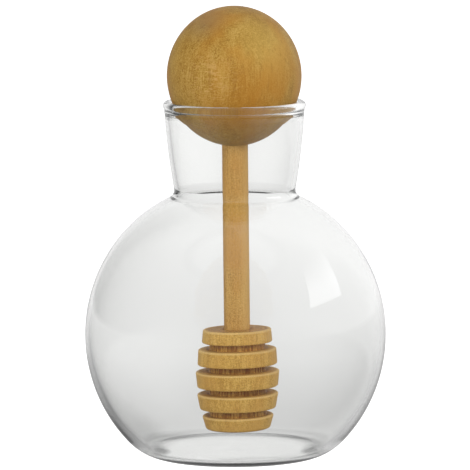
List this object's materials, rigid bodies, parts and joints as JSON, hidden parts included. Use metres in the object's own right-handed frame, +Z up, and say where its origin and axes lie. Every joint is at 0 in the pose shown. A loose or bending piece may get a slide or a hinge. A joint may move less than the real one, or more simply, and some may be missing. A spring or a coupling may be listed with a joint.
{
  "type": "honey jar with dipper",
  "caption": "Round-bellied clear glass jar with a flared neck, closed by a wooden ball stopper that carries a straight stem and a grooved honey dipper head.",
  "frame": {"origin": "centre of the jar's flat base, on the surface it stands on", "axes": "+Z up along the jar's axis, +X to the right as the picture shows it, -Y towards the viewer"},
  "size_m": [0.0904, 0.0904, 0.1364],
  "materials": {
    "clear_glass": "clear, polished",
    "ball_wood": "fine-sanded, lightly oiled",
    "stem_wood": "fine-sanded, lightly oiled",
    "head_wood": "turned, matt"
  },
  "bodies": {
    "root": {"glass_jar": "clear_glass", "ball_stopper": "ball_wood", "dipper_stem": "stem_wood", "dipper_head": "head_wood"}
  },
  "joints": []
}
